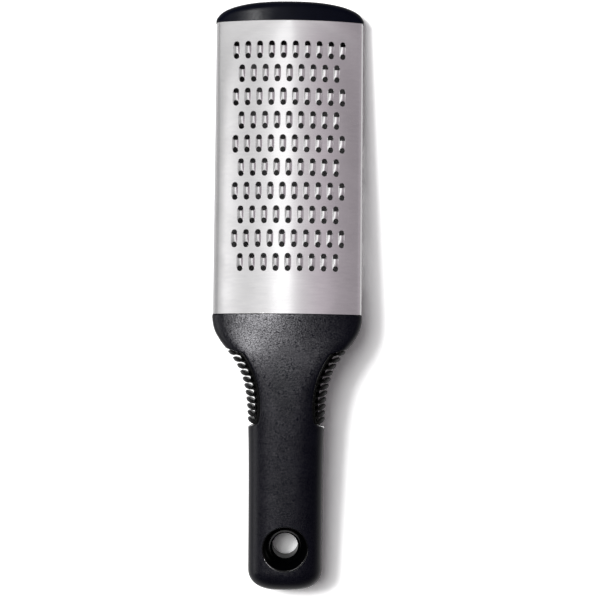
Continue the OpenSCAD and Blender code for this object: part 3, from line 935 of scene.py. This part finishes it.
def plastic_material(name, colour, rough, specular, dust):
    """Smooth moulded plastic with faint flow marks and handling wear."""
    made, tree, shader = new_material(name, Specular_IOR_Level=specular)
    flow = noise(tree, place_mm(tree, (1, 0.4, 1)), size=5, detail=4)
    fine = noise(tree, place_mm(tree), size=0.25)
    tree.links.new(mottled(tree, flow, colour, 0.1), shader.inputs["Base Color"])
    tree.links.new(vary(tree, flow, rough - dust, rough + dust), shader.inputs["Roughness"])
    tree.links.new(bump(tree, fine, strength=0.08, distance=0.02), shader.inputs["Normal"])
    return made


def paint(piece, material):
    piece.data.materials.clear()
    piece.data.materials.append(material)


# The studio

# Brightness of the studio by its angle from straight up, across the photograph (minus is left)
ACROSS = ((-90, 0.44), (-60, 0.48), (-44, 0.46), (-39.6, 0.42), (-38.5, 0.56), (-37.3, 0.78),
          (-36.2, 1.12), (-34.6, 1.22), (-31.7, 1.06), (-28.9, 0.94), (-22.8, 0.83), (-19.5, 0.87),
          (-13, 1.02), (-9.8, 1.15), (-7.6, 1.4), (1.1, 1.4), (1.7, 1.06), (4.3, 0.92), (6.5, 0.79),
          (13, 0.66), (19.5, 0.565), (26, 0.45), (32.7, 0.37), (37.8, 0.34), (44, 0.42), (60, 0.42),
          (90, 0.38))
# The same along the photograph (minus is down), as a share
ALONG = ((-90, 0.15), (-40, 0.15), (-22, 0.2), (-10, 0.34), (0, 0.95), (5, 1.38), (10, 1.46),
         (12.5, 1.24), (15, 1.04), (19, 0.81), (26, 0.68), (35, 0.55), (45, 0.45), (90, 0.35))
# The brightness that stands as 1 in the two curves' nodes
RAMP_TOP = 2
# Tint of the studio's right side, and the angle in radians over which it comes in
RIGHT_TINT = (1, 0.91, 0.975)
TINT_TURN = 0.3
# How much of the studio's glow lights the object, beside what shines in glossy surfaces
GLOW_SHARE = 0.6
# The lamps: direction, angle across, and strength. The last three are the highlight on the
# rubber's shoulder, the light on the left sides of the rubber and the cap, and the cap's streak
LAMPS = {"key": ((-0.65, 0.3, 1), 14, 1.58), "soft": ((-0.466, 0.27, 1), 40, 1.3),
         "sheen": ((-0.25, 0.31, 1), 14, 33), "side": ((-1, 0.05, 0.1), 50, 2.8),
         "streak": ((-0.36, 0.24, 1), 6, 4)}
# Half the side of the paper, in metres
PAPER_HALF = 3
# Colour of the paper: as it lights the object, as it shines in the object, and as it is seen
PAPER = (0.72, 0.72, 0.72)
SHINING_PAPER = (0.7, 0.7, 0.7)
SEEN_PAPER = (1.45, 1.45, 1.45)
# The paper's share of brightness close under the plate, where it is darkened by painted shade,
# and the width over which this painted shade fades at the plate's ends; at its sides it fades over
# one and a half times that
PAINTED_SHADE_SHARE = 0.1
PAINTED_SHADE_FADE = 4


def ramp(tree, turn, stops):
    """Brightness by an angle, from stop to stop of (degrees, value)."""
    share = remap(tree, turn, -math.pi / 2, math.pi / 2, 0, 1)
    made = node(tree, "ShaderNodeValToRGB", i0=share)
    marks = made.color_ramp.elements
    while len(marks) < len(stops):
        marks.new(0.5)
    for mark, (angle_at, value) in zip(marks, stops):
        mark.position = (angle_at + 90) / 180
        mark.color = (*[value / RAMP_TOP] * 3, 1)
    return made.outputs[0]


def make_world():
    """The studio's glow, which the camera itself sees as white."""
    world = bpy.data.worlds.new("studio")
    bpy.context.scene.world = world
    tree = empty_tree(world)
    towards = node(tree, "ShaderNodeTexCoord").outputs["Generated"]
    x, y, z = node(tree, "ShaderNodeSeparateXYZ", i0=towards).outputs
    across = maths(tree, "ARCTAN2", x, maths(tree, "MAXIMUM", z, 0.001))
    along = maths(tree, "ARCSINE", y)
    path = node(tree, "ShaderNodeLightPath")
    share = remap(tree, path.outputs["Is Glossy Ray"], 0, 1, GLOW_SHARE, 1)
    level = maths(tree, "MULTIPLY", ramp(tree, across, ACROSS), ramp(tree, along, ALONG))
    level = maths(tree, "MULTIPLY", level, share)
    tint = mix_colour(tree, remap(tree, across, 0, TINT_TURN, 0, 1), (1, 1, 1), RIGHT_TINT)
    studio = node(tree, "ShaderNodeBackground", Color=tint,
                  Strength=maths(tree, "MULTIPLY", level, RAMP_TOP ** 2))
    white = node(tree, "ShaderNodeBackground", Color=(1, 1, 1, 1), Strength=1)
    both = node(tree, "ShaderNodeMixShader", Fac=path.outputs["Is Camera Ray"],
                i1=studio.outputs[0], i2=white.outputs[0])
    node(tree, "ShaderNodeOutputWorld", Surface=both.outputs[0])


def group(name, pieces, state):
    """A set of pieces that a lamp lights alone, or leaves out."""
    made = bpy.data.collections.new(name)
    for piece in pieces:
        made.objects.link(piece)
    for member in made.collection_objects:
        member.light_linking.link_state = state
    return made


def make_lamps(steel, rubber, cap):
    """Soft suns. The first two are kept off the steel and the cap, in which the world shines."""
    off_shiny = group("off_shiny", [*steel, cap], "EXCLUDE")
    receivers = {"key": off_shiny, "soft": off_shiny,
                 "sheen": group("on_rubber", [rubber], "INCLUDE"),
                 "side": group("on_dark", [rubber, cap], "INCLUDE"),
                 "streak": group("on_cap", [cap], "INCLUDE")}
    for name, (towards, angle, strength) in LAMPS.items():
        lamp = bpy.data.lights.new(name, "SUN")
        lamp.energy = strength
        lamp.angle = math.radians(angle)
        made = bpy.data.objects.new(name, lamp)
        made.rotation_mode = "QUATERNION"
        made.rotation_quaternion = Vector(towards).to_track_quat("Z", "Y")
        made.light_linking.receiver_collection = receivers[name]
        bpy.context.scene.collection.objects.link(made)


def painted_shade_under_plate(tree):
    """White on the open floor, and painted shade close under the plate, where the paper is darker.
    """
    x, y, _ = node(tree, "ShaderNodeSeparateXYZ", i0=place_mm(tree)).outputs
    out_x = maths(tree, "ABSOLUTE", x)
    out_y = maths(tree, "ABSOLUTE", maths(tree, "SUBTRACT", y, JOINT_Y + PLATE_L / 2))
    across = remap(tree, out_x, HALF_W - 2 * PAINTED_SHADE_FADE, HALF_W - PAINTED_SHADE_FADE / 2, 0, 1)
    along = remap(tree, out_y, PLATE_L / 2 - PAINTED_SHADE_FADE, PLATE_L / 2, 0, 1)
    open_share = maths(tree, "MAXIMUM", across, along)
    return mix_colour(tree, open_share, [PAINTED_SHADE_SHARE] * 3, (1, 1, 1))


def make_floor():
    """The paper, which is darker where it lights the object than where it is seen, and carries
    painted shade close under the plate.
    """
    corners = [(x * PAPER_HALF, y * PAPER_HALF, 0)
               for x, y in ((-1, -1), (1, -1), (1, 1), (-1, 1))]
    floor = mesh_object("floor", corners, [(0, 1, 2, 3)])
    made = bpy.data.materials.new("paper")
    tree = empty_tree(made)
    path = node(tree, "ShaderNodeLightPath")
    colour = mix_colour(tree, path.outputs["Is Glossy Ray"], PAPER, SHINING_PAPER)
    colour = mix_colour(tree, path.outputs["Is Camera Ray"], colour, SEEN_PAPER)
    # Painted shade: the paper's colour is made darker close under the plate
    colour = mix_colour(tree, 1.0, colour, painted_shade_under_plate(tree), "MULTIPLY")
    paper = node(tree, "ShaderNodeBsdfDiffuse", Color=colour)
    node(tree, "ShaderNodeOutputMaterial", Surface=paper.outputs[0])
    paint(floor, made)


# The photograph was taken from straight above. The camera, in metres: its place, and half the
# width that it sees at a distance. Then how far it is turned
CAMERA_AT = (0.0064, -0.0024, 0.9)
FRAME_HALF = 0.1532
FRAME_HALF_AT = 0.889
CAMERA_ROLL = 0.54
CAMERA_CLIP = (0.01, 20)


def make_camera():
    data = bpy.data.cameras.new("camera")
    made = bpy.data.objects.new("camera", data)
    bpy.context.scene.collection.objects.link(made)
    made.location = CAMERA_AT
    made.rotation_euler = (0, 0, math.radians(CAMERA_ROLL))
    data.angle = 2 * math.atan(FRAME_HALF / FRAME_HALF_AT)
    data.clip_start, data.clip_end = CAMERA_CLIP
    bpy.context.scene.camera = made


# The whole

def dress(piece, cad_node, material):
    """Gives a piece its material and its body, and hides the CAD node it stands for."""
    paint(piece, material)
    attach(piece, "root")
    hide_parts(cad_node)


def build():
    """Builds every piece; the steel ones, the grip and the cap are returned for the lamps."""
    steel = steel_material()
    grip = rubber_material("grip_rubber", **GRIP_RUBBER)
    fins = plastic_material("fin_rubber", **FIN_PLASTIC)
    core = plastic_material("core_plastic", **CORE_PLASTIC)
    cap = plastic_material("cap_plastic", **CAP_PLASTIC)
    foot = rubber_material("foot_rubber", **FOOT_RUBBER)
    plate, soft_grip, end_cap = build_plate(), build_grip(), build_end_cap()
    dress(plate, "grating_plate", steel)
    dress(soft_grip, "handle_grip", grip)
    dress(build_core(), "handle_core", core)
    dress(build_fin_pad("left_fins", -1), "fin_pad_left", fins)
    dress(build_fin_pad("right_fins", 1), "fin_pad_right", fins)
    dress(end_cap, "end_cap", cap)
    dress(build_foot(), "foot_pad", foot)
    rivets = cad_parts["tang_rivets"]
    paint(rivets, steel)
    return (plate, rivets), soft_grip, end_cap


make_camera()
steel_pieces, grip_piece, cap_piece = build()
make_floor()
make_lamps(steel_pieces, grip_piece, cap_piece)
make_world()
bpy.context.scene.view_settings.view_transform = "Standard"
